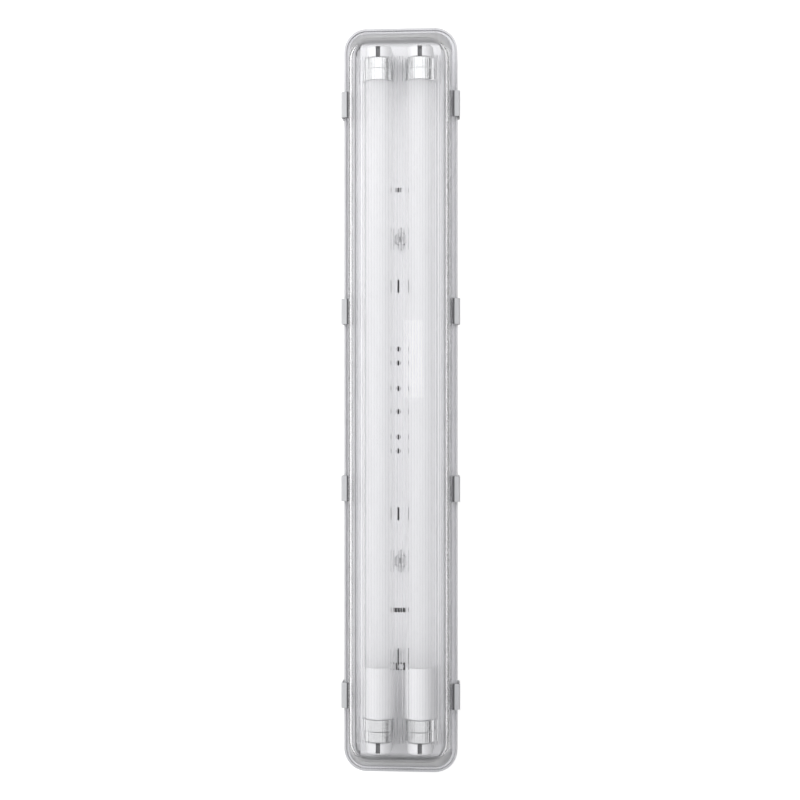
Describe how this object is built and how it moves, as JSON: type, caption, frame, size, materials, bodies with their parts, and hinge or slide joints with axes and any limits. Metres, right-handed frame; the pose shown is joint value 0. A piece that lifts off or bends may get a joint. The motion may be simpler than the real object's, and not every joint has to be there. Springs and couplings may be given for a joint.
{
  "type": "vapor tight light fixture",
  "caption": "Long sealed ceiling light: grey tub housing, clear ribbed cover held by snap latches along both sides, tube lamps in rotary lampholders on a white gear tray.",
  "frame": {"origin": "centre of the mounting plane, under the two mounting brackets", "axes": "+Y along the lamps away from the feed end, +X across, +Z from the mounting surface to the crown of the clear cover"},
  "size_m": [0.1046, 0.655, 0.0754],
  "materials": {
    "housing_grey": "satin moulded",
    "cover_clear": "clear polished",
    "gasket_foam": "matt foam",
    "latch_grey": "satin moulded",
    "tray_white": "satin powder coat",
    "lamp_glass": "frosted",
    "cap_aluminium": "bright drawn",
    "pin_brass": "plated",
    "disc_insulator": "matt",
    "sleeve_white": "matt print film",
    "board_white": "matt solder mask",
    "led_yellow": "matt",
    "driver_green": "matt",
    "holder_white": "satin moulded",
    "rotor_grey": "satin moulded",
    "leaf_bronze": "rolled",
    "fastener_grey": "satin moulded",
    "terminal_white": "matt",
    "screw_steel": "zinc plated",
    "wire_brown": "smooth sheath",
    "wire_blue": "smooth sheath",
    "wire_green": "smooth sheath",
    "tab_tin": "tin plated",
    "seal_rubber": "matt",
    "bracket_steel": "rolled stainless"
  },
  "bodies": {
    "enclosure": {"housing": "housing_grey", "gasket": "gasket_foam", "cover": "cover_clear", "gear_tray": "tray_white", "terminal_block": "terminal_white", "terminal_screws": "screw_steel", "live_wires": "wire_brown", "neutral_wires": "wire_blue", "earth_wire": "wire_green", "earth_tab": "tab_tin", "earth_rivet": "screw_steel", "cord_clamp": "terminal_white", "clamp_screws": "screw_steel", "entry_seal": "seal_rubber", "bracket_far": "bracket_steel", "bracket_feed": "bracket_steel", "contact_leaves_left": "leaf_bronze", "lampholder_left_far": "holder_white", "lampholder_left_feed": "holder_white", "contact_leaves_right": "leaf_bronze", "lampholder_right_far": "holder_white", "lampholder_right_feed": "holder_white"},
    "lamp_left": {"lamp_left_glass": "lamp_glass", "lamp_left_far_cap": "cap_aluminium", "lamp_left_feed_cap": "cap_aluminium", "lamp_left_pin_discs": "disc_insulator", "lamp_left_pins": "pin_brass", "lamp_left_sleeve": "sleeve_white", "lamp_left_led_board": "board_white", "lamp_left_leds": "led_yellow", "lamp_left_driver": "driver_green", "rotor_left_far": "rotor_grey", "rotor_left_feed": "rotor_grey"},
    "latch_left_1_body": {"latch_left_1": "latch_grey"},
    "latch_left_2_body": {"latch_left_2": "latch_grey"},
    "latch_left_3_body": {"latch_left_3": "latch_grey"},
    "latch_left_4_body": {"latch_left_4": "latch_grey"},
    "lamp_right": {"lamp_right_glass": "lamp_glass", "lamp_right_far_cap": "cap_aluminium", "lamp_right_feed_cap": "cap_aluminium", "lamp_right_pin_discs": "disc_insulator", "lamp_right_pins": "pin_brass", "lamp_right_sleeve": "sleeve_white", "lamp_right_led_board": "board_white", "lamp_right_leds": "led_yellow", "lamp_right_driver": "driver_green", "rotor_right_far": "rotor_grey", "rotor_right_feed": "rotor_grey"},
    "latch_right_1_body": {"latch_right_1": "latch_grey"},
    "latch_right_2_body": {"latch_right_2": "latch_grey"},
    "latch_right_3_body": {"latch_right_3": "latch_grey"},
    "latch_right_4_body": {"latch_right_4": "latch_grey"},
    "tray_fastener_far_body": {"tray_fastener_far": "fastener_grey"},
    "tray_fastener_feed_body": {"tray_fastener_feed": "fastener_grey"}
  },
  "joints": [
    {"name": "lamp_left_twist", "type": "hinge", "parent": "enclosure", "child": "lamp_left", "pos_m": [-0.018, 0, 0.057], "axis": [0, 1, 0], "range_deg": [0, 90]},
    {"name": "latch_left_1_hinge", "type": "hinge", "parent": "enclosure", "child": "latch_left_1_body", "pos_m": [-0.048, 0.26, 0.0286], "axis": [0, -1, 0], "range_deg": [0, 100]},
    {"name": "latch_left_2_hinge", "type": "hinge", "parent": "enclosure", "child": "latch_left_2_body", "pos_m": [-0.048, 0.078, 0.0286], "axis": [0, -1, 0], "range_deg": [0, 100]},
    {"name": "latch_left_3_hinge", "type": "hinge", "parent": "enclosure", "child": "latch_left_3_body", "pos_m": [-0.048, -0.078, 0.0286], "axis": [0, -1, 0], "range_deg": [0, 100]},
    {"name": "latch_left_4_hinge", "type": "hinge", "parent": "enclosure", "child": "latch_left_4_body", "pos_m": [-0.048, -0.26, 0.0286], "axis": [0, -1, 0], "range_deg": [0, 100]},
    {"name": "lamp_right_twist", "type": "hinge", "parent": "enclosure", "child": "lamp_right", "pos_m": [0.018, 0, 0.057], "axis": [0, 1, 0], "range_deg": [0, 90]},
    {"name": "latch_right_1_hinge", "type": "hinge", "parent": "enclosure", "child": "latch_right_1_body", "pos_m": [0.048, 0.26, 0.0286], "axis": [0, 1, 0], "range_deg": [0, 100]},
    {"name": "latch_right_2_hinge", "type": "hinge", "parent": "enclosure", "child": "latch_right_2_body", "pos_m": [0.048, 0.078, 0.0286], "axis": [0, 1, 0], "range_deg": [0, 100]},
    {"name": "latch_right_3_hinge", "type": "hinge", "parent": "enclosure", "child": "latch_right_3_body", "pos_m": [0.048, -0.078, 0.0286], "axis": [0, 1, 0], "range_deg": [0, 100]},
    {"name": "latch_right_4_hinge", "type": "hinge", "parent": "enclosure", "child": "latch_right_4_body", "pos_m": [0.048, -0.26, 0.0286], "axis": [0, 1, 0], "range_deg": [0, 100]},
    {"name": "tray_fastener_far_turn", "type": "hinge", "parent": "enclosure", "child": "tray_fastener_far_body", "pos_m": [0, 0.142, 0.036], "axis": [0, 0, 1], "range_deg": [0, 90]},
    {"name": "tray_fastener_feed_turn", "type": "hinge", "parent": "enclosure", "child": "tray_fastener_feed_body", "pos_m": [0, -0.142, 0.036], "axis": [0, 0, 1], "range_deg": [0, 90]}
  ]
}
